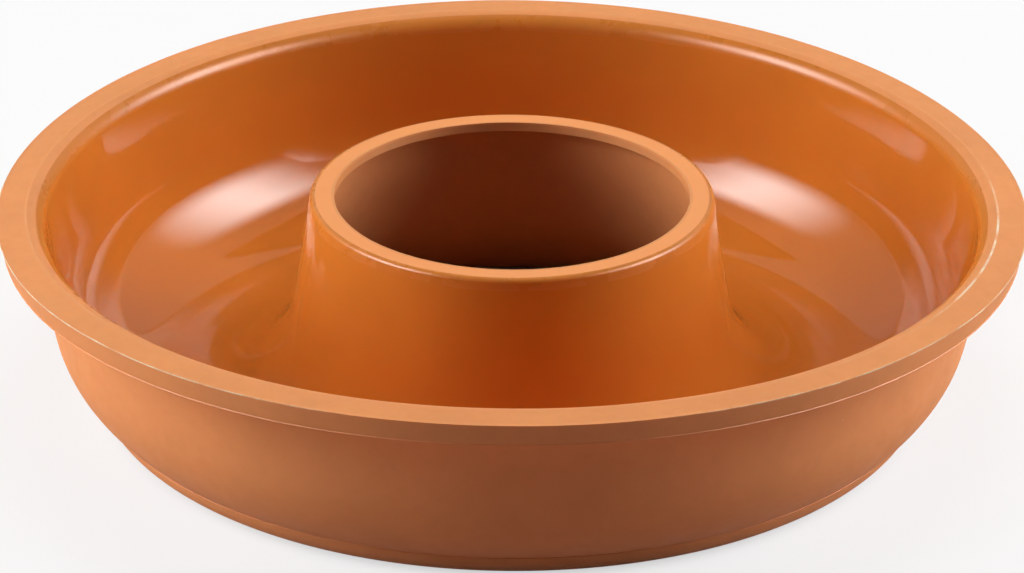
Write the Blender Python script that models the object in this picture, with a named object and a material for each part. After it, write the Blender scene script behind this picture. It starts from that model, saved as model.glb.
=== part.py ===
"""A silicone ring cake mould with a steel ring moulded into its rim.

The mould stands on its floor, with its axis on +Z and its origin at the middle of its underside.
Lengths are in metres. Each outline is drawn in the XZ plane and turned about Z.
"""
import math

import bmesh
import bpy

# Steel ring in the rim, the gap round it and the silicone over and under it
ROD_DIAMETER = 0.0030
ROD_CLEARANCE = 0.0003
ROD_COVER = 0.0010

# Holes that the moulding tool's locating pins leave under the rim
PIN_HOLE_DIAMETER = 0.0024
PIN_HOLE_COUNT = 8

# Rim: a flat flange around the mouth
RIM_RADIUS = 0.1300
RIM_HEIGHT = 0.0535
RIM_FLAT_WIDTH = 0.0077
RIM_INNER_ROUND = 0.0050
RIM_ROOT_ROUND = 0.0012
BAND_DRAFT = math.radians(6.0)

# Shell: one thickness all round, a drafted wall that turns into the floor through a large arc
SHELL_THICKNESS = 0.0025
WALL_DRAFT = math.radians(7.0)
WALL_ARC_RADIUS = 0.0300
TROUGH_ARC_RADIUS = 0.0300

# Foot: a low rounded ring under the wall
FOOT_HEIGHT = 0.0070
FOOT_STEP = 0.0007
FOOT_ROUND = 0.0095

# Chimney: the hollow post in the middle, with an inward lip at its top
CHIMNEY_HEIGHT = 0.0558
CHIMNEY_LIP_RADIUS = 0.0452
CHIMNEY_LIP_DEPTH = 0.0024
CHIMNEY_FLAT_WIDTH = 0.0048
CHIMNEY_EDGE_ROUND = 0.0013
CHIMNEY_DRAFT = math.radians(9.0)
CHIMNEY_ROOT_ROUND = 0.0280

# Smoothness
TURN_STEPS = 72
ROD_SIDES = 10
PIN_HOLE_SIDES = 10

# What the sizes above settle together
CHANNEL_DIAMETER = ROD_DIAMETER + 2 * ROD_CLEARANCE
BAND_HEIGHT = CHANNEL_DIAMETER + 2 * ROD_COVER
BAND_BOTTOM = RIM_HEIGHT - BAND_HEIGHT
BAND_BOTTOM_RADIUS = RIM_RADIUS - BAND_HEIGHT * math.tan(BAND_DRAFT)
RIM_FLAT_INNER_RADIUS = RIM_RADIUS - RIM_FLAT_WIDTH
ROD_RING_RADIUS = RIM_RADIUS - RIM_FLAT_WIDTH / 2
ROD_RING_HEIGHT = RIM_HEIGHT - BAND_HEIGHT / 2
CHIMNEY_RADIUS = CHIMNEY_LIP_RADIUS + CHIMNEY_FLAT_WIDTH + CHIMNEY_EDGE_ROUND

QUARTER = math.pi / 2
FULL_TURN = 4 * QUARTER
SHARP_ANGLE = math.radians(35.0)


def arc(centre, radius, start, end, steps):
    """Points on an arc in the XZ plane, with angles turning from +X towards +Z."""
    x, z = centre
    turn = (end - start) / steps
    angles = [start + i * turn for i in range(steps + 1)]
    return [(x + radius * math.cos(a), z + radius * math.sin(a)) for a in angles]


def trough_wall_radius(height):
    """Radius of the trough's outer wall, which touches the round at the rim."""
    top = RIM_HEIGHT - RIM_INNER_ROUND * (1 - math.sin(WALL_DRAFT))
    top_radius = RIM_FLAT_INNER_RADIUS - RIM_INNER_ROUND * math.cos(WALL_DRAFT)
    return top_radius - (top - height) * math.tan(WALL_DRAFT)


def outer_wall_radius(height):
    return trough_wall_radius(height) + SHELL_THICKNESS / math.cos(WALL_DRAFT)


def flank_radius(height):
    """Radius of the chimney's outer side, which touches the round at its top."""
    top = CHIMNEY_HEIGHT - CHIMNEY_EDGE_ROUND * (1 - math.sin(CHIMNEY_DRAFT))
    top_radius = CHIMNEY_RADIUS - CHIMNEY_EDGE_ROUND * (1 - math.cos(CHIMNEY_DRAFT))
    return top_radius + (top - height) * math.tan(CHIMNEY_DRAFT)


def bore_radius(height):
    return flank_radius(height) - SHELL_THICKNESS / math.cos(CHIMNEY_DRAFT)


def wall_arc_centre():
    """Centre of the arc that touches the outer wall and the table."""
    height = WALL_ARC_RADIUS
    return outer_wall_radius(height) - WALL_ARC_RADIUS / math.cos(WALL_DRAFT), height


def trough_arc_centre():
    """Centre of the arc that touches the trough's wall and its floor."""
    height = SHELL_THICKNESS + TROUGH_ARC_RADIUS
    return trough_wall_radius(height) - TROUGH_ARC_RADIUS / math.cos(WALL_DRAFT), height


def root_arc_centre():
    """Centre of the arc that touches the chimney's side and the trough's floor."""
    height = SHELL_THICKNESS + CHIMNEY_ROOT_ROUND
    return flank_radius(height) + CHIMNEY_ROOT_ROUND / math.cos(CHIMNEY_DRAFT), height


def rim_outline():
    """From the rim's top edge down its band and back under it to the wall."""
    root_height = BAND_BOTTOM - RIM_ROOT_ROUND * (1 - math.sin(WALL_DRAFT))
    root_radius = outer_wall_radius(root_height) + RIM_ROOT_ROUND * math.cos(WALL_DRAFT)
    root_centre = (root_radius, BAND_BOTTOM - RIM_ROOT_ROUND)
    root = arc(root_centre, RIM_ROOT_ROUND, QUARTER, math.pi - WALL_DRAFT, 2)
    return [(RIM_RADIUS, RIM_HEIGHT), (BAND_BOTTOM_RADIUS, BAND_BOTTOM)] + root


def wall_outline():
    """Down the outer wall and round its arc, then out over the foot and down to the table."""
    centre = wall_arc_centre()
    foot_angle = math.asin((WALL_ARC_RADIUS - FOOT_HEIGHT) / WALL_ARC_RADIUS)
    wall = arc(centre, WALL_ARC_RADIUS, -WALL_DRAFT, -foot_angle, 6)
    foot_top = (wall[-1][0] + FOOT_STEP, FOOT_HEIGHT - FOOT_STEP)
    start = math.asin((foot_top[1] - FOOT_ROUND) / FOOT_ROUND)
    foot_centre = (foot_top[0] - FOOT_ROUND * math.cos(start), FOOT_ROUND)
    return wall + arc(foot_centre, FOOT_ROUND, start, -QUARTER, 5)


def bore_outline():
    """From the floor's underside round the chimney's root and up the bore to its lip."""
    radius = CHIMNEY_ROOT_ROUND + SHELL_THICKNESS
    root = arc(root_arc_centre(), radius, -QUARTER, -math.pi + CHIMNEY_DRAFT, 7)
    lip_bottom = CHIMNEY_HEIGHT - CHIMNEY_LIP_DEPTH
    lip = [(bore_radius(lip_bottom), lip_bottom), (CHIMNEY_LIP_RADIUS, lip_bottom)]
    return root + lip


def chimney_outline():
    """Over the chimney's flat top and its edge, down its side and round its root to the floor."""
    edge_centre = (CHIMNEY_LIP_RADIUS + CHIMNEY_FLAT_WIDTH, CHIMNEY_HEIGHT - CHIMNEY_EDGE_ROUND)
    edge = arc(edge_centre, CHIMNEY_EDGE_ROUND, QUARTER, CHIMNEY_DRAFT, 3)
    root = arc(root_arc_centre(), CHIMNEY_ROOT_ROUND, math.pi + CHIMNEY_DRAFT, 3 * QUARTER, 7)
    return [(CHIMNEY_LIP_RADIUS, CHIMNEY_HEIGHT)] + edge + root


def trough_outline():
    """Round the trough's outer arc, up its wall and over the round to the rim's flat top."""
    bottom = arc(trough_arc_centre(), TROUGH_ARC_RADIUS, -QUARTER, -WALL_DRAFT, 8)
    round_centre = (RIM_FLAT_INNER_RADIUS, RIM_HEIGHT - RIM_INNER_ROUND)
    return bottom + arc(round_centre, RIM_INNER_ROUND, math.pi - WALL_DRAFT, QUARTER, 5)


def rod_outline(diameter):
    """A round section where the steel ring lies inside the rim."""
    centre = (ROD_RING_RADIUS, ROD_RING_HEIGHT)
    return arc(centre, diameter / 2, 0, FULL_TURN, ROD_SIDES)[:-1]


def turned_mesh(name, outline):
    """A closed outline in the XZ plane, turned a full circle about Z."""
    bm = bmesh.new()
    verts = [bm.verts.new((x, 0, z)) for x, z in outline]
    edges = [bm.edges.new((verts[i - 1], verts[i])) for i in range(len(verts))]
    bmesh.ops.spin(bm, geom=verts + edges, cent=(0, 0, 0), axis=(0, 0, 1), angle=FULL_TURN,
                   steps=TURN_STEPS, use_merge=True)
    bmesh.ops.recalc_face_normals(bm, faces=bm.faces)
    return finished_mesh(name, bm)


def finished_mesh(name, bm):
    mesh = bpy.data.meshes.new(name)
    bm.to_mesh(mesh)
    bm.free()
    mesh.shade_smooth()
    mesh.set_sharp_from_angle(angle=SHARP_ANGLE)
    return mesh


def pin_hole_mesh():
    """Posts that reach from below the rim to the middle of the ring's channel."""
    bm = bmesh.new()
    depth = 2 * (ROD_RING_HEIGHT - BAND_BOTTOM)
    for i in range(PIN_HOLE_COUNT):
        turn = FULL_TURN * (i + 0.5) / PIN_HOLE_COUNT
        post = bmesh.ops.create_cone(bm, cap_ends=True, segments=PIN_HOLE_SIDES, depth=depth,
                                     radius1=PIN_HOLE_DIAMETER / 2, radius2=PIN_HOLE_DIAMETER / 2)
        place = (ROD_RING_RADIUS * math.cos(turn), ROD_RING_RADIUS * math.sin(turn), BAND_BOTTOM)
        bmesh.ops.translate(bm, verts=post["verts"], vec=place)
    return finished_mesh("pin_holes", bm)


def add_object(name, mesh, parent):
    item = bpy.data.objects.new(name, mesh)
    bpy.context.scene.collection.objects.link(item)
    item.parent = parent
    return item


def cut(item, cutter):
    """Takes the cutter's shape out of the item and keeps the cutter out of sight."""
    modifier = item.modifiers.new(cutter.name, "BOOLEAN")
    modifier.operation = "DIFFERENCE"
    modifier.solver = "EXACT"
    modifier.object = cutter
    cutter.hide_render = True
    cutter.display_type = "WIRE"


def silicone_material():
    material = bpy.data.materials.new("orange silicone")
    material.use_nodes = True
    shader = material.node_tree.nodes["Principled BSDF"]
    shader.inputs["Base Color"].default_value = (0.72, 0.21, 0.045, 1.0)
    shader.inputs["Roughness"].default_value = 0.4
    shader.inputs["Metallic"].default_value = 0.0
    return material


def steel_material():
    material = bpy.data.materials.new("steel rod")
    material.use_nodes = True
    shader = material.node_tree.nodes["Principled BSDF"]
    shader.inputs["Base Color"].default_value = (0.56, 0.56, 0.55, 1.0)
    shader.inputs["Roughness"].default_value = 0.3
    shader.inputs["Metallic"].default_value = 1.0
    return material


def build_mould(parent):
    """The whole silicone moulding, hollowed for the ring, with the pin holes that reach it."""
    outline = rim_outline() + wall_outline() + bore_outline() + chimney_outline() + trough_outline()
    mould = add_object("silicone_mould", turned_mesh("silicone_mould", outline), parent)
    mould.data.materials.append(silicone_material())
    cut(mould, add_object("rod_channel", turned_mesh("rod_channel", rod_outline(CHANNEL_DIAMETER)), parent))
    cut(mould, add_object("pin_holes", pin_hole_mesh(), parent))


def build_rim_ring(parent):
    """The steel rod, bent to a circle and welded shut, that keeps the rim round and stiff."""
    ring = add_object("rim_ring", turned_mesh("rim_ring", rod_outline(ROD_DIAMETER)), parent)
    ring.data.materials.append(steel_material())


def main():
    for item in list(bpy.data.objects):
        bpy.data.objects.remove(item, do_unlink=True)
    mould_root = bpy.data.objects.new("ring_mould", None)
    bpy.context.scene.collection.objects.link(mould_root)
    build_mould(mould_root)
    build_rim_ring(mould_root)


main()
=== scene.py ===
"""A silicone ring cake mould with the steel ring in its rim, on a pale studio floor.

The mould stands on its floor with its axis on +Z, and lengths are in metres. The moulding is one
section turned about the axis. Its outside is matte and its trough is polished, as its tool left them.
"""

import functools
import math

import bpy
import numpy as np
from bpy.props import FloatProperty, FloatVectorProperty, IntProperty, PointerProperty
from mathutils import Euler, Matrix, Vector, noise


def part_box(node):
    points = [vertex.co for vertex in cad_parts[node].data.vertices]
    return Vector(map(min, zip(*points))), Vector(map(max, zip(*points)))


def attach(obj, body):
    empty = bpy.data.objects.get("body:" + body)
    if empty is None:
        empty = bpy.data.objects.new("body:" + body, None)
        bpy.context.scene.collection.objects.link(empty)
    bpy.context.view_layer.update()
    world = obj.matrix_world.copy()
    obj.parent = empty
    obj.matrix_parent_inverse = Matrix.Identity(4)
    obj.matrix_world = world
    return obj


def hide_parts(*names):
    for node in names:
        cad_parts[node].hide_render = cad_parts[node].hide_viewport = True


bl_info = {
    "name": "Silicone ring mould",
    "version": (1, 0, 0),
    "blender": (4, 5, 0),
    "location": "View3D > Sidebar > Ring Mould",
    "description": "Builds a silicone ring cake mould, its steel rim ring and a studio to see them in",
    "category": "Add Mesh",
}

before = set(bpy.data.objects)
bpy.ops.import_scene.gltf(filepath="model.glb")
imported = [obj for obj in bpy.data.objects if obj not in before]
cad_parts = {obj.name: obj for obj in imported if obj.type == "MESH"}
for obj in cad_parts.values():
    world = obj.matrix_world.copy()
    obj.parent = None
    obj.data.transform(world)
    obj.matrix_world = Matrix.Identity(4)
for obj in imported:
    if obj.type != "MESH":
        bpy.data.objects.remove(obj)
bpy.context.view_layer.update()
MOULD_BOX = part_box("silicone_mould")

QUARTER = math.pi / 2
FULL_TURN = 4 * QUARTER
WAVE_SEED = 7
ROD_SIDES = 20
POST_SIDES = 20
POST_START = 0.002    # below the rim
SHARP_FROM = math.radians(40)
FINISHES = ("matte", "polished", "flash")    # in the order of the moulding's materials


def length(name, description, default):
    return FloatProperty(name=name, description=description, default=default, min=0.0,
                         precision=5, unit="LENGTH")


def angle(name, description, degrees):
    return FloatProperty(name=name, description=description, default=math.radians(degrees),
                         subtype="ANGLE")


def share(name, description, default):
    return FloatProperty(name=name, description=description, default=default, min=0.0, max=1.0,
                         subtype="FACTOR")


def glow(name, description, default):
    return FloatProperty(name=name, description=description, default=default, min=0.0)


def colour(name, description, default):
    return FloatVectorProperty(name=name, description=description, default=default, size=3,
                               min=0.0, max=1.0, subtype="COLOR")


class MouldSizes(bpy.types.PropertyGroup):
    """Sizes of the moulding's section."""
    rim_radius: length("Rim radius", "Outside of the rim", MOULD_BOX[1].x)
    rim_height: length("Rim height", "Top of the rim over the table", 0.0535)
    rim_flat_width: length("Rim flat", "Width of the rim's flat top", 0.0077)
    rim_tilt: angle("Rim tilt", "How far the rim's flat top leans outwards", 3.5)
    rim_side_tilt: angle("Rim side tilt", "How much more it leans at the mould's two sides", 7.0)
    rim_inner_round: length("Rim inner round", "Round from the rim's top into the trough", 0.0042)
    polish_line: angle("Polish line", "Where the tool's polish starts on that round", 26.0)
    rim_root_round: length("Rim root round", "Round between the rim's underside and the wall", 0.0012)
    band_height: length("Band height", "Thickness of the rim", 0.0056)
    band_draft: angle("Band draft", "Lean of the rim's outer band", 6.0)
    shell: length("Shell", "Thickness of the floor and the chimney", 0.0025)
    rim_overhang: length("Rim overhang", "From the rim's edge to the outer wall's line", 0.0098)
    wall_draft: angle("Wall draft", "Lean of the wall", 7.0)
    wall_arc: length("Wall arc", "Radius from the outer wall to the table", 0.0300)
    trough_arc: length("Trough arc", "Radius from the trough's wall to its floor", 0.0308)
    foot_height: length("Foot height", "Height of the line above the foot", 0.0070)
    foot_step: length("Foot step", "How far the foot stands out from the wall", 0.0001)
    foot_round: length("Foot round", "Round from the foot to the table", 0.0095)
    chimney_height: length("Chimney height", "Top of the chimney over the table", MOULD_BOX[1].z)
    lip_radius: length("Lip radius", "Inside of the chimney's lip", 0.0452)
    lip_depth: length("Lip depth", "Thickness of the chimney's lip", 0.0024)
    chimney_flat: length("Chimney flat", "Width of the chimney's flat top", 0.0048)
    chimney_edge_round: length("Chimney edge", "Round from the chimney's top to its side", 0.0013)
    chimney_draft: angle("Chimney draft", "Lean of the chimney's side", 9.0)
    chimney_root: length("Chimney root", "Round from the chimney's side to the floor", 0.0280)
    edge_break: length("Edge break", "Size of the tiny rounds along the moulding's sharp edges", 0.00020)
    fin_height: length("Flash height", "Height of the thin flash that the tool's joint leaves", 0.00022)
    rim_sag: length("Rim sag", "How far the rim drops at its sides and rises at front and back", 0.00115)
    waviness: length("Waviness", "How far the soft wall strays from a true surface", 0.00007)
    crease_depth: length("Crease depth", "Depth of the fine creases in the wall at the two sides", 0.00020)
    turn_steps: IntProperty(name="Turn steps", description="Faces round the axis", default=720, min=24)


class RingSizes(bpy.types.PropertyGroup):
    """Sizes of the steel ring and the way it sits in the rim."""
    rod_diameter: length("Rod diameter", "Thickness of the steel rod", 0.0030)
    clearance: length("Clearance", "Gap between the rod and its channel", 0.0003)
    pin_hole: length("Pin hole", "Width of the holes that locating pins leave under the rim", 0.0024)
    pin_holes: IntProperty(name="Pin holes", description="Number of pin holes", default=8, min=1)
    weld_bulge: length("Weld bulge", "How far the butt weld stands out from the rod", 0.00012)
    weld_reach: length("Weld reach", "How far along the rod the weld swells it", 0.0016)


class MouldFinish(bpy.types.PropertyGroup):
    """Colours and gloss of the silicone and the steel."""
    matte: colour("Matte silicone", "Outside, rim and bore", (0.86, 0.330, 0.112))
    polished: colour("Polished silicone", "Trough and chimney side", (0.71, 0.226, 0.032))
    # The flash's pale colour is painted light: glow through thin silicone and a painted highlight at the
    # front's sides.
    flash: colour("Flash", "Thin silicone along the edges", (1.0, 0.85, 0.62))
    dust: colour("Dust", "Specks of dust and torn flash", (0.95, 0.72, 0.48))
    matte_roughness: share("Matte roughness", "Roughness outside", 0.52)
    polished_roughness: share("Polished roughness", "Roughness in the trough", 0.03)
    polish_end: length("Polish end", "Height at which the rounded edges lose their polish", 0.0532)
    polish_fade: length("Polish fade", "Height over which the polish is lost", 0.0022)
    rim_blur: length("Rim blur", "How much lower the polish ends at the rim", 0.0024)
    edge_haze: share("Edge haze", "How much rougher the rounded edges are than the trough", 0.24)
    # Painted highlight: how much paler the chimney's flat top is painted, for the light that falls on it.
    painted_top_light: share("Painted top light", "How much paler the chimney's flat top is than the outside", 0.14)
    grain_depth: length("Grain depth", "Depth of the eroded tool's grain outside", 0.000025)
    ripple_depth: length("Ripple depth", "Depth of the faint ripple in the polished faces", 0.000008)
    steel: colour("Steel", "Steel rod", (0.56, 0.55, 0.53))
    heat_tint: colour("Heat tint", "Steel next to the weld", (0.34, 0.24, 0.16))


class StudioSettings(bpy.types.PropertyGroup):
    """Camera, lamps and floor."""
    camera_distance: length("Camera distance", "From the camera to the mould", 1.8)
    camera_rise: angle("Camera rise", "Height of the view above the horizon", 25.096)
    camera_aim: length("Camera aim", "Height of the point in the middle of the picture", 0.0300)
    camera_roll: angle("Camera roll", "How far the camera leans to its left", 0.40)
    camera_shift: FloatProperty(name="Shift", description="Sideways shift for the framing", default=0.0006)
    camera_lens: FloatProperty(name="Lens", description="Focal length in millimetres", default=248.19)
    lamp_distance: length("Lamp distance", "From the mould to each lamp", 1.5)
    key_left_turn: angle("Left key turn", "From straight behind the mould to the left", 88.0)
    key_right_turn: angle("Right key turn", "From straight behind the mould to the right", 77.0)
    key_rise: angle("Key rise", "Height of the middle of each key lamp", 18.5)
    key_width: length("Key width", "Width of each key lamp", 0.90)
    key_height: length("Key height", "Height of each key lamp", 1.10)
    key_left_glow: glow("Left key glow", "Radiance of the left key lamp", 7.7)
    key_right_glow: glow("Right key glow", "Radiance of the right key lamp", 7.3)
    top_turn: angle("Top turn", "From straight behind the mould to the right", 20.0)
    top_rise: angle("Top rise", "Height of the middle of the top lamp", 80.0)
    top_size: length("Top size", "Width of the top lamp", 0.74)
    top_glow: glow("Top glow", "Radiance of the top lamp", 4.6)
    panel_left_turn: angle("Left panel turn", "From straight behind the mould to the left", 104.0)
    panel_right_turn: angle("Right panel turn", "From straight behind the mould to the right", 94.0)
    panel_rise: angle("Panel rise", "Height of the middle of each mirrored panel", 30.0)
    panel_width: length("Panel width", "Width of each mirrored panel", 1.66)
    panel_height: length("Panel height", "Height of each mirrored panel", 1.21)
    panel_rear_fade: share("Panel rear fade", "Share of each panel that fades out to its rear", 0.62)
    panel_near_fade: share("Panel near fade", "Share of each panel that fades out to the camera", 0.54)
    panel_low_fade: share("Panel low fade", "Share of each panel that fades out downwards", 0.42)
    panel_top_fade: share("Panel top fade", "Share of each panel that fades out upwards", 0.25)
    panel_glow: glow("Panel glow", "Radiance of the brightest part of each mirrored panel", 19.0)
    ambient: share("Ambient", "Brightness of the room", 0.03)
    backdrop_gloss: share("Backdrop gloss", "How bright the gloss shows the pale backdrop", 0.65)
    floor_gloss: share("Floor gloss", "How bright the gloss shows the floor", 0.35)
    floor_bounce: colour("Floor bounce", "What the floor throws back on the mould", (0.45, 0.33, 0.30))
    floor_near: share("Floor near", "How much the floor right by the mould throws back", 0.20)
    floor_radius: length("Floor radius", "Size of the floor", 7.0)
    floor_drop: length("Floor drop", "How far the floor lies below the mould's underside", 0.0003)
    floor_white: share("Floor white", "How white the floor is beyond the mould's shadow", 0.80)
    floor_shade: length("Floor shade", "How far the floor round the mould lies in its shade", 0.094)
    floor_clear: length("Floor clear", "Where the floor is clear of the mould's shade", 0.110)


class RingMould(bpy.types.PropertyGroup):
    """Everything that a user would change."""
    mould: PointerProperty(type=MouldSizes)
    ring: PointerProperty(type=RingSizes)
    finish: PointerProperty(type=MouldFinish)
    studio: PointerProperty(type=StudioSettings)


# Section of the moulding, drawn in the XZ plane

def arc(centre, radius, start, end, spacing=0.0009):
    """Points on an arc, with angles turning from +X towards +Z."""
    steps = max(2, round(abs(end - start) * radius / spacing))
    angles = [start + (end - start) * i / steps for i in range(steps + 1)]
    return [(centre[0] + radius * math.cos(a), centre[1] + radius * math.sin(a)) for a in angles]


def line(start, end, spacing=0.0016):
    """Points on a straight run, its start included and its end left out."""
    run = math.dist(start, end)
    steps = max(1, round(run / spacing))
    return [(start[0] + (end[0] - start[0]) * i / steps, start[1] + (end[1] - start[1]) * i / steps)
            for i in range(steps)]


def rim_flat_inner_radius(s):
    return s.rim_radius - s.rim_flat_width


def trough_wall_radius(s, height):
    """Radius of the trough's outer wall, which touches the round at the rim."""
    top = s.rim_height - s.rim_inner_round * (1 - math.sin(s.wall_draft))
    top_radius = rim_flat_inner_radius(s) - s.rim_inner_round * math.cos(s.wall_draft)
    return top_radius - (top - height) * math.tan(s.wall_draft)


def outer_wall_radius(s, height):
    return s.rim_radius - s.rim_overhang - (s.rim_height - height) * math.tan(s.wall_draft)


def flank_radius(s, height):
    """Radius of the chimney's outer side, which touches the round at its top."""
    top = s.chimney_height - s.chimney_edge_round * (1 - math.sin(s.chimney_draft))
    edge = s.lip_radius + s.chimney_flat + s.chimney_edge_round
    top_radius = edge - s.chimney_edge_round * (1 - math.cos(s.chimney_draft))
    return top_radius + (top - height) * math.tan(s.chimney_draft)


def bore_radius(s, height):
    return flank_radius(s, height) - s.shell / math.cos(s.chimney_draft)


def root_centre(s):
    """Centre of the round from the chimney's side to the trough's floor."""
    height = s.shell + s.chimney_root
    return flank_radius(s, height) + s.chimney_root / math.cos(s.chimney_draft), height


class Run:
    """A stretch of the section with one finish. Fins say how far flash moves each of its points."""

    def __init__(self, finish, points, fins=None, seed=0):
        self.finish = finish
        self.points = points
        self.fins = fins or [(0.0, 0.0)] * len(points)
        self.seed = seed


def band_low_radius(s):
    return s.rim_radius - s.band_height * math.tan(s.band_draft)


def rim_edge_runs(s):
    """The flash along the rim's outer top edge, the band under it and the bead at its foot."""
    radius, top, low = s.rim_radius, s.rim_height, s.rim_height - s.band_height
    low_radius = band_low_radius(s)
    fin, tiny = s.fin_height, s.edge_break
    edge = [(radius - tiny, top), (radius - 0.4 * tiny, top + 0.15 * tiny),
            (radius + 0.05 * tiny, top + 0.05 * tiny), (radius, top - 0.4 * tiny)]
    edge_fins = [(0, 0), (0, fin), (0.2 * fin, 0.8 * fin), (0, 0)]
    band_top = (radius - 0.1 * tiny, top - tiny)
    band_low = (low_radius + 0.2 * tiny, low + 2.2 * tiny)
    bead = [(low_radius, low + 1.5 * tiny), (low_radius + 0.7 * tiny, low + 0.5 * tiny),
            (low_radius - 0.6 * tiny, low)]
    bead_fins = [(0, 0), (0.5 * fin, -0.1 * fin), (0, 0)]
    band = line(band_top, band_low) + [band_low]
    return [Run("flash", edge, edge_fins, seed=11), Run("matte", band),
            Run("matte", bead, bead_fins, seed=23)]


def underside_runs(s):
    """Under the rim, down the outer wall, over the foot, and up the bore to the lip."""
    low = s.rim_height - s.band_height
    root = low - s.rim_root_round * (1 - math.sin(s.wall_draft))
    root_radius = outer_wall_radius(s, root) + s.rim_root_round * math.cos(s.wall_draft)
    rim_root = arc((root_radius, low - s.rim_root_round), s.rim_root_round, QUARTER,
                   math.pi - s.wall_draft, spacing=0.0004)
    under = line((band_low_radius(s) - 1.5 * s.edge_break, low), rim_root[0], spacing=0.0010)

    centre = (outer_wall_radius(s, s.wall_arc) - s.wall_arc / math.cos(s.wall_draft), s.wall_arc)
    foot_angle = math.asin((s.wall_arc - s.foot_height) / s.wall_arc)
    wall_arc = arc(centre, s.wall_arc, -s.wall_draft, -foot_angle)
    wall = line(rim_root[-1], wall_arc[0])
    foot_top = (wall_arc[-1][0] + s.foot_step, s.foot_height - s.foot_step)
    start = math.asin((foot_top[1] - s.foot_round) / s.foot_round)
    foot = arc((foot_top[0] - s.foot_round * math.cos(start), s.foot_round), s.foot_round, start, -QUARTER)
    crease = line(wall_arc[-1], foot[0], spacing=0.0003)[1:]

    turn = root_centre(s)
    root_arc = arc(turn, s.chimney_root + s.shell, -QUARTER, -math.pi + s.chimney_draft)
    base = line(foot[-1], root_arc[0], spacing=0.0025)[1:]
    lip_low = s.chimney_height - s.lip_depth
    bore = line(root_arc[-1], (bore_radius(s, lip_low), lip_low))[1:]
    lip = line((bore_radius(s, lip_low), lip_low), (s.lip_radius, lip_low), spacing=0.0008)
    outside = under + rim_root[:-1] + wall + wall_arc + crease + foot
    return [Run("matte", outside + base + root_arc + bore + lip)]


def chimney_runs(s):
    """Up the lip with its flash, over the flat top, and down the polished side to the floor."""
    radius, top = s.lip_radius, s.chimney_height
    fin, tiny = s.fin_height, s.edge_break
    land = line((radius, top - s.lip_depth), (radius, top - 1.5 * tiny), spacing=0.0006)
    edge = [(radius, top - 0.8 * tiny), (radius - 0.1 * tiny, top), (radius + 0.5 * tiny, top),
            (radius + 1.3 * tiny, top)]
    edge_fins = [(0, 0), (-0.5 * fin, 0.1 * fin), (-0.1 * fin, 0.12 * fin), (0, 0)]
    flat_end = (radius + s.chimney_flat, top)
    flat = line((radius + 3 * tiny, top), flat_end, spacing=0.0008)
    round_centre = (flat_end[0], top - s.chimney_edge_round)
    edge_round = arc(round_centre, s.chimney_edge_round, QUARTER, s.chimney_draft, spacing=0.00022)
    root = arc(root_centre(s), s.chimney_root, math.pi + s.chimney_draft, 3 * QUARTER)
    side = line(edge_round[-1], root[0])[1:]
    return [Run("matte", land), Run("flash", edge, edge_fins, seed=37), Run("matte", flat),
            Run("polished", edge_round + side + root)]


def trough_runs(s):
    """Over the trough's floor, up its wall and round to the rim's flat top."""
    height = s.shell + s.trough_arc
    centre = (trough_wall_radius(s, height) - s.trough_arc / math.cos(s.wall_draft), height)
    wall_arc = arc(centre, s.trough_arc, -QUARTER, -s.wall_draft)
    inner = rim_flat_inner_radius(s)
    middle = (inner, s.rim_height - s.rim_inner_round)
    polish_line = QUARTER + s.polish_line
    rim_round = arc(middle, s.rim_inner_round, math.pi - s.wall_draft, polish_line, spacing=0.0003)
    rim_edge = arc(middle, s.rim_inner_round, polish_line, QUARTER, spacing=0.0003)
    floor = line((root_centre(s)[0], s.shell), wall_arc[0])[1:]
    wall = line(wall_arc[-1], rim_round[0])[1:]
    top, tiny = s.rim_height, s.edge_break
    hair = [(inner, top), (inner + 0.3 * tiny, top + 0.05 * tiny), (inner + 0.7 * tiny, top)]
    hair_fins = [(0, 0), (0, 0.2 * s.fin_height), (0, 0)]
    flat = line((inner + 3 * tiny, top), (s.rim_radius - 3 * tiny, top), spacing=0.0009)
    return [Run("polished", floor + wall_arc + wall + rim_round[:-1]), Run("matte", rim_edge[:-1]),
            Run("flash", hair, hair_fins, seed=53), Run("matte", flat)]


def mould_section(s):
    return rim_edge_runs(s) + underside_runs(s) + chimney_runs(s) + trough_runs(s)


# Turning the section, and the small faults of a soft moulding

class Faults:
    """How the soft moulding strays from its section. A pair is the start and the end of a change."""
    flash_sides = (0.22, 0.55)       # of the way from the middle to the left or right end
    flash_front = (-0.25, 0.10)      # of the way from the middle to the front
    flash_noise = ((3, 0), (38, 5), (95, 9))    # scale and seed of the broad, ragged and torn noise
    flash_shares = (0.55, 0.45, 0.35)           # even, broad and ragged shares of the flash
    flash_least = 0.05
    flash_torn = 0.1
    flash_tight = 0.2                # what is left of the flash where the tool closed well
    torn_level = -0.28               # noise below this tears the flash off
    sagging_radius = (0.085, 0.115)
    held_height = (0.0, 0.006)       # the table keeps the moulding's underside true
    flange_radius = (-0.0066, -0.0036)    # from the steel ring's middle
    flange_height = (0.0455, 0.0485)
    side_lean = (0.75, 1.0)          # of the way from the middle to the left or right end
    crease_sides = (0.86, 0.97)
    crease_front = (-0.012, 0.012)
    crease_foot = (0.016, 0.030)
    crease_top = (0.0505, 0.046)
    crease_along = 260               # creases follow each other closely along the wall
    crease_up = 12                   # and change little on the way up it
    crease_lean = 0.012              # how far they stray sideways
    crease_bend = 40                 # and how soon they turn back
    crease_seeds = (3, 7, 2)         # of the lean, the right side and the left side
    trough_radius = (0.1195, 0.1185)
    broad_waves = 26
    fine_waves = 85
    fine_share = 0.18


def smooth_step(values, span):
    """0 at the span's start, 1 at its end, and smooth between them."""
    t = np.clip((values - span[0]) / (span[1] - span[0]), 0, 1)
    return t * t * (3 - 2 * t)


def flash_reach(x, y):
    """How far the tool's joint opened in a direction from the axis: most at the front's sides."""
    return smooth_step(abs(x), Faults.flash_sides) * smooth_step(-y, Faults.flash_front)


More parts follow.
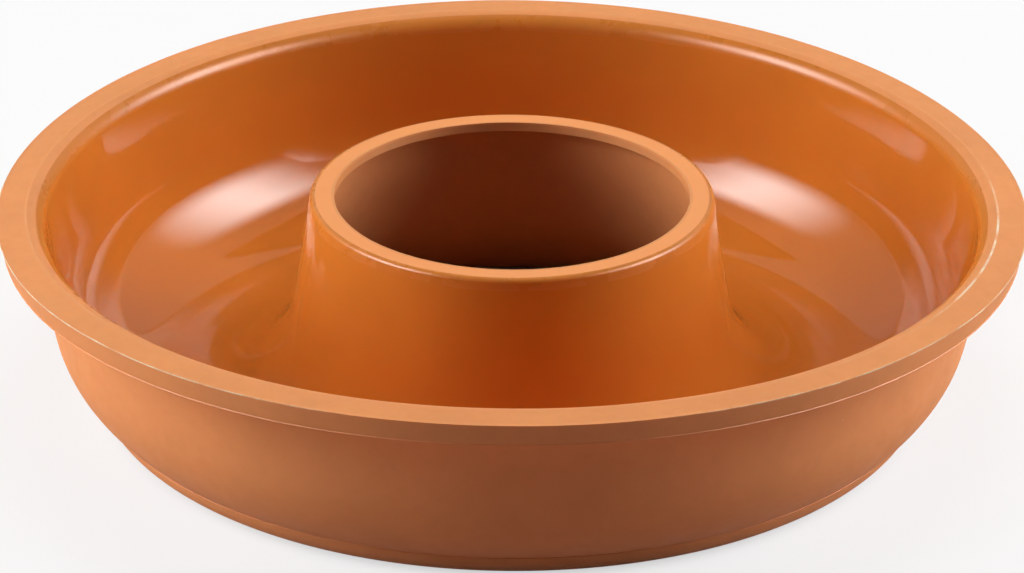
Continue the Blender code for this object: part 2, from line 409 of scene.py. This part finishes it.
def fin_pattern(turns, seed):
    """How much of the full flash stands at each turn, from 0 to 1, with torn places."""
    even_share, broad_share, ragged_share = Faults.flash_shares
    level = []
    for t in turns:
        x, y = math.cos(t), math.sin(t)
        broad, ragged, torn = (noise.noise(Vector((scale * x, scale * y, seed + step)))
                               for scale, step in Faults.flash_noise)
        value = even_share + broad_share * broad + ragged_share * ragged
        value = min(1.0, max(Faults.flash_least, value))
        if torn <= Faults.torn_level:
            value = Faults.flash_torn
        level.append(value * (Faults.flash_tight + (1 - Faults.flash_tight) * flash_reach(x, y)))
    return np.array(level)


def wall_creases(s, co, turn):
    """Fine upright creases in the trough's wall at its two sides, from being gripped there."""
    there = smooth_step(np.abs(np.cos(turn)), Faults.crease_sides)
    there = there * smooth_step(-co[:, 1], Faults.crease_front)
    there = there * smooth_step(co[:, 2], Faults.crease_foot) * smooth_step(co[:, 2], Faults.crease_top)
    lean_seed, right_seed, left_seed = Faults.crease_seeds
    depth = np.zeros(len(co))
    for i in np.nonzero(there > 0)[0]:
        x, y, z = co[i]
        lean = Faults.crease_lean * noise.noise(Vector((0, Faults.crease_bend * z, lean_seed)))
        along = Faults.crease_along * (y + lean)
        side_seed = right_seed if x > 0 else left_seed
        depth[i] = noise.noise(Vector((along, Faults.crease_up * z, side_seed)))
    return s.crease_depth * there * depth


def relax(s, co):
    """Lets the soft rim lean and sag, and gives the whole moulding its creases and slight waves."""
    radius = np.hypot(co[:, 0], co[:, 1])
    turn = np.arctan2(co[:, 1], co[:, 0])
    out = co.copy()
    middle, level = ring_centre(s)
    flange = smooth_step(radius - middle, Faults.flange_radius) * smooth_step(co[:, 2], Faults.flange_height)
    lean = flange * (s.rim_tilt + s.rim_side_tilt * smooth_step(np.abs(np.cos(turn)), Faults.side_lean))
    push = (co[:, 2] - level) * lean / radius
    out[:, :2] += co[:, :2] * push[:, None]
    free_height = (Faults.held_height[1], s.rim_height)
    free = smooth_step(radius, Faults.sagging_radius) * smooth_step(co[:, 2], free_height)
    out[:, 2] -= (radius - middle) * lean + s.rim_sag * np.cos(2 * turn) * free
    inside = smooth_step(radius, Faults.trough_radius)
    out[:, :2] += co[:, :2] * (wall_creases(s, co, turn) * inside / radius)[:, None]
    held = smooth_step(co[:, 2], Faults.held_height)
    noise.seed_set(WAVE_SEED)
    waves = np.array([tuple(noise.noise_vector(Vector(p) * Faults.broad_waves)
                            + Faults.fine_share * noise.noise_vector(Vector(p) * Faults.fine_waves))
                      for p in co])
    return out + waves * (s.waviness * held)[:, None]


def turned_mesh(name, runs, steps, settle):
    """Turns a closed section about Z. Each face keeps the number of its run's finish."""
    points = np.array([p for run in runs for p in run.points])
    turns = np.arange(steps) * FULL_TURN / steps
    fins = np.zeros((steps, len(points), 2))
    slots = []
    at = 0
    for run in runs:
        count = len(run.points)
        if any(out or up for out, up in run.fins):
            fins[:, at:at + count] = fin_pattern(turns, run.seed)[:, None, None] * np.array(run.fins)
        slots += [FINISHES.index(run.finish)] * count
        at += count
    radius = points[:, 0] + fins[:, :, 0]
    height = points[:, 1] + fins[:, :, 1]
    co = np.stack([radius * np.cos(turns)[:, None], radius * np.sin(turns)[:, None], height], -1)
    co = settle(co.reshape(-1, 3))
    count = len(points)
    here = np.arange(steps)[:, None] * count
    there = (np.arange(steps)[:, None] + 1) % steps * count
    now, after = np.arange(count), (np.arange(count) + 1) % count
    faces = np.stack([here + now, there + now, there + after, here + after], -1).reshape(-1, 4)
    mesh = bpy.data.meshes.new(name)
    mesh.from_pydata(co.tolist(), [], faces.tolist())
    mesh.polygons.foreach_set("material_index", np.tile(slots, steps))
    mesh.update()
    return mesh


def round_section(centre, radius, sides):
    """A closed round section that turns the same way as the moulding's."""
    return [(centre[0] + radius * math.cos(FULL_TURN * i / sides),
             centre[1] - radius * math.sin(FULL_TURN * i / sides)) for i in range(sides)]


def add_object(name, mesh, *materials):
    item = bpy.data.objects.new(name, mesh)
    bpy.context.scene.collection.objects.link(item)
    for material in materials:
        item.data.materials.append(material)
    return item


def ring_centre(s):
    return s.rim_radius - s.rim_flat_width / 2, s.rim_height - s.band_height / 2


def pin_posts(s, ring, settle):
    """One mesh of round posts that reach from below the rim into the ring's channel."""
    radius, height = ring_centre(s)
    low = s.rim_height - s.band_height - POST_START
    sides = POST_SIDES
    verts, faces = [], []
    for i in range(ring.pin_holes):
        turn = FULL_TURN * (i + 0.5) / ring.pin_holes
        middle = (radius * math.cos(turn), radius * math.sin(turn))
        first = len(verts)
        for z in (low, height):
            verts += [(middle[0] + ring.pin_hole / 2 * math.cos(FULL_TURN * k / sides),
                       middle[1] + ring.pin_hole / 2 * math.sin(FULL_TURN * k / sides), z)
                      for k in range(sides)]
        faces += [[first + k, first + (k + 1) % sides, first + sides + (k + 1) % sides, first + sides + k]
                  for k in range(sides)]
        faces += [[first + k for k in reversed(range(sides))], [first + sides + k for k in range(sides)]]
    mesh = bpy.data.meshes.new("pin_posts")
    mesh.from_pydata(settle(np.array(verts)).tolist(), [], faces)
    return mesh


def cut(item, cutter_mesh):
    """Takes the cutter's shape out of the item for good."""
    cutter = add_object(cutter_mesh.name, cutter_mesh)
    modifier = item.modifiers.new(cutter.name, "BOOLEAN")
    modifier.operation = "DIFFERENCE"
    modifier.solver = "EXACT"
    modifier.object = cutter
    result = bpy.data.meshes.new_from_object(item.evaluated_get(bpy.context.evaluated_depsgraph_get()))
    item.modifiers.remove(modifier)
    old, item.data = item.data, result
    result.name = item.name
    bpy.data.objects.remove(cutter)
    bpy.data.meshes.remove(old)


# Materials

MIX_COLOURS = (6, 7)    # sockets of a Mix node that hold its two colours
MIX_RESULT = 2          # and the mixed one


def new_material(name):
    material = bpy.data.materials.new(name)
    material.use_nodes = True
    tree = material.node_tree
    return material, tree, tree.nodes["Principled BSDF"]


def node(tree, kind, settings=None, **inputs):
    """Adds a node. Inputs are values or another node's output sockets."""
    item = tree.nodes.new(kind)
    for key, value in (settings or {}).items():
        setattr(item, key, value)
    for key, value in inputs.items():
        socket = item.inputs[key.replace("_", " ")]
        if isinstance(value, bpy.types.NodeSocket):
            tree.links.new(value, socket)
        else:
            socket.default_value = value
    return item


def place(tree):
    return node(tree, "ShaderNodeTexCoord").outputs["Object"]


def coordinate(tree, where, axis):
    return node(tree, "ShaderNodeSeparateXYZ", Vector=where).outputs[axis]


def reach_from_axis(tree, where):
    """Distance from the middle of the table's face, close to the radius on a shape as flat as this."""
    return node(tree, "ShaderNodeVectorMath", {"operation": "LENGTH"}, Vector=where).outputs["Value"]


def noise_field(tree, where, scale, detail=2.0, roughness=0.5):
    return node(tree, "ShaderNodeTexNoise", Vector=where, Scale=scale, Detail=detail,
                Roughness=roughness).outputs["Fac"]


def remap(tree, value, low, high, to_low=0.0, to_high=1.0, smooth=False):
    item = node(tree, "ShaderNodeMapRange",
                {"clamp": True, "interpolation_type": "SMOOTHSTEP" if smooth else "LINEAR"})
    tree.links.new(value, item.inputs["Value"])
    for key, number in (("From Min", low), ("From Max", high), ("To Min", to_low), ("To Max", to_high)):
        item.inputs[key].default_value = number
    return item.outputs["Result"]


def blend_colours(tree, factor, first, second):
    """Mixes two colours, each a colour or an output socket."""
    item = node(tree, "ShaderNodeMix", {"data_type": "RGBA"})
    tree.links.new(factor, item.inputs[0])
    for index, value in zip(MIX_COLOURS, (first, second)):
        if isinstance(value, bpy.types.NodeSocket):
            tree.links.new(value, item.inputs[index])
        else:
            item.inputs[index].default_value = (*value[:3], 1.0)
    return item.outputs[MIX_RESULT]


def blend_shaders(tree, factor, first, second):
    item = node(tree, "ShaderNodeMixShader")
    for index, socket in enumerate((factor, first.outputs[0], second.outputs[0])):
        tree.links.new(socket, item.inputs[index])
    return item


def maths(tree, operation, *values, clamp=False):
    """A Math node. Values are numbers or output sockets."""
    item = node(tree, "ShaderNodeMath", {"operation": operation, "use_clamp": clamp})
    for index, value in enumerate(values):
        if isinstance(value, bpy.types.NodeSocket):
            tree.links.new(value, item.inputs[index])
        else:
            item.inputs[index].default_value = value
    return item.outputs[0]


def multiply(tree, first, second):
    return maths(tree, "MULTIPLY", first, second)


def bumped(tree, shader, height, distance, strength):
    item = node(tree, "ShaderNodeBump", Height=height, Distance=distance, Strength=strength)
    tree.links.new(item.outputs["Normal"], shader.inputs["Normal"])


def shade(base, factor):
    return tuple(c * factor for c in base)


def specks(tree, where, scale, size, kept):
    """A mask of small specks, with only a few of the cells kept."""
    cells = node(tree, "ShaderNodeTexVoronoi", Vector=where, Scale=scale, Randomness=1.0)
    close = remap(tree, cells.outputs["Distance"], size, size * 0.6)
    pick = node(tree, "ShaderNodeSeparateColor", Color=cells.outputs["Color"])
    rare = remap(tree, pick.outputs["Red"], kept, kept * 0.9)
    return multiply(tree, close, rare)


def silicone_body(shader):
    """What all of the silicone shares: its refraction and a little light under its skin."""
    shader.inputs["IOR"].default_value = 1.41
    shader.inputs["Subsurface Weight"].default_value = 0.12
    shader.inputs["Subsurface Radius"].default_value = (1.0, 0.35, 0.12)
    shader.inputs["Subsurface Scale"].default_value = 0.0018


def matte_silicone(finish, chimney_top):
    """Outside of the moulding: an eroded tool's fine grain, faint clouds, a few specks and a chimney top
    painted paler as a painted highlight.
    """
    material, tree, shader = new_material("matte silicone")
    where = place(tree)
    clouds = noise_field(tree, where, scale=38.0, detail=4.0, roughness=0.55)
    patches = noise_field(tree, where, scale=240.0, detail=3.0, roughness=0.6)
    grain = noise_field(tree, where, scale=2600.0, detail=2.0, roughness=0.6)
    base = tuple(finish.matte)
    tone = blend_colours(tree, remap(tree, clouds, 0.35, 0.65), shade(base, 0.955), shade(base, 1.03))
    tone = blend_colours(tree, remap(tree, patches, 0.45, 0.8, 0.0, 0.35), tone, shade(base, 0.92))
    # Painted highlight: the chimney's flat top is painted paler, for the light that falls on it.
    just_below = (chimney_top - 0.0007, chimney_top - 0.0003)
    top = remap(tree, coordinate(tree, where, "Z"), *just_below)
    tone = blend_colours(tree, top, tone, shade(base, 1 + finish.painted_top_light))
    dust = tuple(finish.dust)
    tone = blend_colours(tree, specks(tree, where, scale=95.0, size=0.022, kept=0.05), tone, dust)
    tone = blend_colours(tree, specks(tree, where, scale=210.0, size=0.035, kept=0.03), tone, dust)
    tree.links.new(tone, shader.inputs["Base Color"])
    rough = finish.matte_roughness
    tree.links.new(remap(tree, patches, 0.3, 0.7, rough - 0.05, rough + 0.07), shader.inputs["Roughness"])
    bumped(tree, shader, grain, finish.grain_depth, strength=0.7)
    silicone_body(shader)
    return material


def polished_silicone(finish):
    """Trough and chimney side: the tool was polished, so only smears and faint lines break the gloss."""
    material, tree, shader = new_material("polished silicone")
    where = place(tree)
    clouds = noise_field(tree, where, scale=30.0, detail=3.0)
    smears = noise_field(tree, where, scale=70.0, detail=5.0, roughness=0.62)
    base = tuple(finish.polished)
    tone = blend_colours(tree, remap(tree, clouds, 0.35, 0.65), shade(base, 0.95), shade(base, 1.03))
    dust = specks(tree, where, scale=80.0, size=0.016, kept=0.04)
    tone = blend_colours(tree, dust, tone, tuple(finish.dust))
    tree.links.new(tone, shader.inputs["Base Color"])
    chimney_to_rim = (0.080, 0.120)
    rim_side = remap(tree, reach_from_axis(tree, where), *chimney_to_rim, 0.0, finish.rim_blur)
    height = maths(tree, "ADD", coordinate(tree, where, "Z"), rim_side)
    edge = remap(tree, height, finish.polish_end - finish.polish_fade, finish.polish_end, smooth=True)
    gloss = finish.polished_roughness
    smeared = remap(tree, smears, 0.42, 0.75, gloss, gloss + 0.07)
    rough = maths(tree, "ADD", smeared, multiply(tree, edge, finish.edge_haze))
    tree.links.new(rough, shader.inputs["Roughness"])
    ripple = noise_field(tree, where, scale=160.0)
    bumped(tree, shader, ripple, finish.ripple_depth, strength=0.4)
    silicone_body(shader)
    return material


class FlashPaintedHighlight:
    """Where the flash shows pale, as painted light: the start and end of each change, in metres from the
    axis.
    """
    aside = (0.028, 0.070)
    towards_front = (0.030, -0.015)
    outer_edge = (0.1355, 0.1385)
    right_end = (0.100, 0.118)


def flash_silicone(finish):
    """Thin torn silicone along the tool's joints. Its pale tone is painted light: the glow of light through
    the thin silicone and a painted highlight where the lamps catch it at the front's sides.
    """
    material, tree, shader = new_material("silicone flash with painted light")
    where = place(tree)
    along = noise_field(tree, where, scale=130.0, detail=4.0, roughness=0.6)
    fine = noise_field(tree, where, scale=900.0, detail=2.0, roughness=0.6)
    across = coordinate(tree, where, "X")
    aside = remap(tree, maths(tree, "ABSOLUTE", across), *FlashPaintedHighlight.aside, smooth=True)
    to_front = remap(tree, coordinate(tree, where, "Y"), *FlashPaintedHighlight.towards_front, smooth=True)
    drawn_out = remap(tree, along, 0.36, 0.60, 0.15, 1.0)
    outer_edge = remap(tree, reach_from_axis(tree, where), *FlashPaintedHighlight.outer_edge)
    right_end = remap(tree, across, *FlashPaintedHighlight.right_end, 0.06, 0.9, smooth=True)
    # Painted highlight and glow: the flash is pale only towards the front's sides, most on the rim's outer
    # edge and towards its right end.
    pale_and_highlit = multiply(tree, multiply(tree, multiply(tree, aside, to_front), drawn_out),
                     maths(tree, "MAXIMUM", outer_edge, right_end))
    tone = blend_colours(tree, pale_and_highlit, tuple(finish.matte), tuple(finish.flash))
    tree.links.new(tone, shader.inputs["Base Color"])
    tree.links.new(remap(tree, fine, 0.3, 0.7, 0.35, 0.6), shader.inputs["Roughness"])
    bumped(tree, shader, fine, distance=0.00003, strength=0.6)
    silicone_body(shader)
    return material


def drawn_steel(finish, weld):
    """Steel rod with the lengthwise lines of its die and a faint heat tint near the weld."""
    material, tree, shader = new_material("drawn steel")
    where = place(tree)
    lines = noise_field(tree, where, scale=1400.0, detail=3.0, roughness=0.6)
    clouds = noise_field(tree, where, scale=60.0, detail=3.0)
    base = tuple(finish.steel)
    tone = blend_colours(tree, clouds, shade(base, 0.82), shade(base, 1.08))
    heat = node(tree, "ShaderNodeVectorMath", {"operation": "DISTANCE"})
    tree.links.new(where, heat.inputs[0])
    heat.inputs[1].default_value = weld
    towards_weld = (0.016, 0.004)
    tint = remap(tree, heat.outputs["Value"], *towards_weld, 0.0, 0.6)
    tone = blend_colours(tree, tint, tone, tuple(finish.heat_tint))
    tree.links.new(tone, shader.inputs["Base Color"])
    tree.links.new(remap(tree, lines, 0.3, 0.7, 0.22, 0.42), shader.inputs["Roughness"])
    bumped(tree, shader, lines, distance=0.00001, strength=0.6)
    shader.inputs["Metallic"].default_value = 1.0
    return material


# Operators, one for each piece and one for the stage

class MOULD_OT_silicone_mould(bpy.types.Operator):
    """Build the silicone moulding: rim, wall, foot, trough and chimney in one piece"""
    bl_idname = "mould.silicone_mould"
    bl_label = "Silicone mould"

    def execute(self, context):
        settings = context.scene.ring_mould
        sizes, ring = settings.mould, settings.ring
        finish = settings.finish
        settle = functools.partial(relax, sizes)
        mesh = turned_mesh("moulding", mould_section(sizes), sizes.turn_steps, settle)
        mould = add_object("moulding", mesh, matte_silicone(finish, sizes.chimney_height),
                           polished_silicone(finish), flash_silicone(finish))
        channel = round_section(ring_centre(sizes), ring.rod_diameter / 2 + ring.clearance, ROD_SIDES)
        cut(mould, turned_mesh("ring_channel", [Run("matte", channel)], sizes.turn_steps // 2, settle))
        cut(mould, pin_posts(sizes, ring, settle))
        mould.data.shade_smooth()
        mould.data.set_sharp_from_angle(angle=SHARP_FROM)
        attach(mould, "root")
        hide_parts("silicone_mould")
        return {"FINISHED"}


class MOULD_OT_rim_ring(bpy.types.Operator):
    """Build the steel ring that stiffens the rim, with its butt weld at the back"""
    bl_idname = "mould.rim_ring"
    bl_label = "Rim ring"

    def execute(self, context):
        settings = context.scene.ring_mould
        sizes, ring = settings.mould, settings.ring
        section = round_section(ring_centre(sizes), ring.rod_diameter / 2, ROD_SIDES)
        mesh = turned_mesh("rod_ring", [Run("matte", section)], sizes.turn_steps // 2,
                           lambda co: relax(sizes, self.with_weld(sizes, ring, co)))
        radius, height = ring_centre(sizes)
        rod = add_object("rod_ring", mesh, drawn_steel(settings.finish, (0.0, radius, height)))
        rod.data.shade_smooth()
        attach(rod, "root")
        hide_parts("rim_ring")
        return {"FINISHED"}

    @staticmethod
    def with_weld(sizes, ring, co):
        """Swells the rod a little where its ends were butt welded."""
        radius, height = ring_centre(sizes)
        turn = np.arctan2(co[:, 1], co[:, 0])
        middle = np.stack([radius * np.cos(turn), radius * np.sin(turn), np.full_like(turn, height)], -1)
        near = np.exp(-((turn - QUARTER) * radius / ring.weld_reach) ** 2)
        return middle + (co - middle) * (1 + 2 * ring.weld_bulge / ring.rod_diameter * near)[:, None]


class MOULD_OT_studio(bpy.types.Operator):
    """Set up the floor, the lamps, the panels that the gloss mirrors, the dark flags and the camera"""
    bl_idname = "mould.studio"
    bl_label = "Studio"

    def execute(self, context):
        studio = context.scene.ring_mould.studio
        self.floor(studio)
        self.flags()
        self.keys(studio)
        self.panels(studio)
        self.room(context.scene, studio)
        self.camera(context.scene, studio)
        context.scene.view_settings.view_transform = "Standard"
        return {"FINISHED"}

    @staticmethod
    def seen(tree, gloss_share):
        """1 for the camera and for what gloss and glass show of the background."""
        path = node(tree, "ShaderNodeLightPath").outputs
        gloss = multiply(tree, path["Is Glossy Ray"], gloss_share)
        total = maths(tree, "ADD", path["Is Camera Ray"], gloss, clamp=True)
        return maths(tree, "ADD", total, path["Is Transmission Ray"], clamp=True)

    def floor(self, studio):
        """A pale round floor. Its bounce colour is painted darker where the mould shades it, so that it
        throws little light back there, and its colour below the bore is painted darker too: painted shade.
        """
        mesh = bpy.data.meshes.new("floor")
        sides, radius = 96, studio.floor_radius
        mesh.from_pydata([(radius * math.cos(FULL_TURN * i / sides), radius * math.sin(FULL_TURN * i / sides),
                           -studio.floor_drop) for i in range(sides)], [], [list(range(sides))])
        material = bpy.data.materials.new("pale floor")
        material.use_nodes = True
        tree = material.node_tree
        tree.nodes.clear()
        where = place(tree)
        reach = reach_from_axis(tree, where)
        past_bore = (0.045, 0.065)
        past_foot = (0.086, 0.106)
        # Painted shade: the floor's bounce is darker below the bore and near the mould.
        painted_bounce_shade = 0.02
        clear = remap(tree, reach, studio.floor_shade, studio.floor_clear, smooth=True)
        near = remap(tree, reach, *past_bore, painted_bounce_shade, studio.floor_near)
        dull = node(tree, "ShaderNodeBsdfDiffuse",
                    Color=blend_colours(tree, clear, near, tuple(studio.floor_bounce)))
        mottle = noise_field(tree, where, scale=3.0, detail=3.0)
        lit = blend_colours(tree, mottle, (0.86, 0.86, 0.86), (0.90, 0.90, 0.90))
        # Painted shade: the floor below the bore is painted darker for the camera.
        painted_bore_shade = (0.25, 0.25, 0.25)
        pale = node(tree, "ShaderNodeBsdfDiffuse",
                    Color=blend_colours(tree, remap(tree, reach, *past_bore), painted_bore_shade, lit))
        glow = node(tree, "ShaderNodeEmission", Color=(1.0, 1.0, 1.0, 1.0), Strength=1.0)
        beyond = remap(tree, reach, *past_foot, 0.0, studio.floor_white, smooth=True)
        seen = self.seen(tree, multiply(tree, clear, studio.floor_gloss))
        whole = blend_shaders(tree, seen, dull, blend_shaders(tree, beyond, pale, glow))
        out = node(tree, "ShaderNodeOutputMaterial")
        tree.links.new(whole.outputs[0], out.inputs["Surface"])
        add_object("floor", mesh, material)

    @staticmethod
    def flags():
        """Dark cards before and above the mould, which keep its near side in shade."""
        material, _, shader = new_material("black card")
        shader.inputs["Base Color"].default_value = (0.02, 0.02, 0.02, 1)
        shader.inputs["Roughness"].default_value = 0.9
        half, top = 1.5, 2.4
        cards = {
            "flag_front": [(-half, -half, 0), (half, -half, 0), (half, -half, top), (-half, -half, top)],
            "flag_top": [(-half, -half, top), (half, -half, top), (half, half, top), (-half, half, top)],
        }
        for name, corners in cards.items():
            mesh = bpy.data.meshes.new(name)
            mesh.from_pydata(corners, [], [[0, 1, 2, 3]])
            card = add_object(name, mesh, material)
            card.visible_camera = False

    @staticmethod
    def lamp(name, studio, turn, rise, width, height, radiance):
        """A rectangular lamp that faces the mould."""
        light = bpy.data.lights.new(name, "AREA")
        light.shape = "RECTANGLE"
        light.size, light.size_y = width, height
        light.energy = math.pi * width * height * radiance
        lamp = bpy.data.objects.new(name, light)
        bpy.context.scene.collection.objects.link(lamp)
        way = Vector((math.sin(turn) * math.cos(rise), math.cos(turn) * math.cos(rise), math.sin(rise)))
        lamp.location = way * studio.lamp_distance
        lamp.rotation_euler = way.to_track_quat("Z", "Y").to_euler()
        lamp.visible_camera = False
        return lamp

    def keys(self, studio):
        """Lamps that light the silicone's colour, and leave the gloss to the panels."""
        lamps = [
            self.lamp("key_left", studio, -studio.key_left_turn, studio.key_rise, studio.key_width,
                      studio.key_height, studio.key_left_glow),
            self.lamp("key_right", studio, studio.key_right_turn, studio.key_rise, studio.key_width,
                      studio.key_height, studio.key_right_glow),
            self.lamp("key_top", studio, studio.top_turn, studio.top_rise, studio.top_size,
                      studio.top_size, studio.top_glow),
        ]
        for lamp in lamps:
            lamp.visible_glossy = False

    def panels(self, studio):
        """Softboxes that only the gloss shows, fading out to the rear, the camera's side and below."""
        for name, turn, rear in (("panel_left", -studio.panel_left_turn, 1.0),
                                 ("panel_right", studio.panel_right_turn, 0.0)):
            lamp = self.lamp(name, studio, turn, studio.panel_rise, studio.panel_width,
                             studio.panel_height, studio.panel_glow)
            lamp.visible_diffuse = False
            light = lamp.data
            light.use_nodes = True
            tree = light.node_tree
            spot = node(tree, "ShaderNodeNewGeometry").outputs["Parametric"]
            across = remap(tree, coordinate(tree, spot, "X"), 0.0, 1.0, 1.0 - rear, rear)
            up = coordinate(tree, spot, "Y")
            fade = multiply(tree, remap(tree, across, 0.0, studio.panel_rear_fade, smooth=True),
                            remap(tree, across, 1.0, 1.0 - studio.panel_near_fade, smooth=True))
            fade = multiply(tree, fade, remap(tree, up, 0.0, studio.panel_low_fade, smooth=True))
            fade = multiply(tree, fade, remap(tree, up, 1.0, 1.0 - studio.panel_top_fade, smooth=True))
            tree.links.new(fade, tree.nodes["Emission"].inputs["Strength"])

    def room(self, scene, studio):
        """A dim room whose gloss shows a dark horizon, a pale backdrop over it and a dark zenith."""
        world = bpy.data.worlds.new("room")
        world.use_nodes = True
        tree = world.node_tree
        background = tree.nodes["Background"]
        background.inputs["Color"].default_value = (1.0, 1.0, 1.0, 1.0)
        rise = coordinate(tree, node(tree, "ShaderNodeTexCoord").outputs["Generated"], "Z")
        above_horizon = (0.14, 0.34)
        below_zenith = (0.93, 0.87)
        pale = multiply(tree, remap(tree, rise, *above_horizon, 0.0, studio.backdrop_gloss, smooth=True),
                        remap(tree, rise, *below_zenith, smooth=True))
        tree.links.new(remap(tree, self.seen(tree, pale), 0.0, 1.0, studio.ambient, 1.0),
                       background.inputs["Strength"])
        scene.world = world

    @staticmethod
    def camera(scene, studio):
        data = bpy.data.cameras.new("camera")
        data.sensor_width = 36.0
        data.lens = studio.camera_lens
        data.clip_end = 50.0
        data.shift_x = studio.camera_shift
        camera = bpy.data.objects.new("camera", data)
        scene.collection.objects.link(camera)
        rise = studio.camera_rise
        away = studio.camera_distance
        camera.location = (0.0, -away * math.cos(rise), studio.camera_aim + away * math.sin(rise))
        camera.rotation_euler = (Euler((QUARTER - rise, 0.0, 0.0)).to_matrix()
                                 @ Matrix.Rotation(studio.camera_roll, 3, "Z")).to_euler()
        scene.camera = camera


class MOULD_PT_parts(bpy.types.Panel):
    """Lists the mould's pieces and sizes in the 3D view's sidebar"""
    bl_idname = "MOULD_PT_parts"
    bl_label = "Ring mould"
    bl_space_type = "VIEW_3D"
    bl_region_type = "UI"
    bl_category = "Ring Mould"

    def draw(self, context):
        for operator in OPERATORS:
            self.layout.operator(operator.bl_idname)
        settings = context.scene.ring_mould
        for group in (settings.mould, settings.ring, settings.finish, settings.studio):
            box = self.layout.box()
            for name in group.__annotations__:
                box.prop(group, name)


OPERATORS = (MOULD_OT_silicone_mould, MOULD_OT_rim_ring, MOULD_OT_studio)
CLASSES = (MouldSizes, RingSizes, MouldFinish, StudioSettings, RingMould, *OPERATORS, MOULD_PT_parts)


def register():
    for item in CLASSES:
        bpy.utils.register_class(item)
    bpy.types.Scene.ring_mould = PointerProperty(type=RingMould)


def unregister():
    del bpy.types.Scene.ring_mould
    for item in reversed(CLASSES):
        bpy.utils.unregister_class(item)


def main():
    register()
    bpy.ops.mould.silicone_mould()
    bpy.ops.mould.rim_ring()
    bpy.ops.mould.studio()


if __name__ == "__main__":
    main()
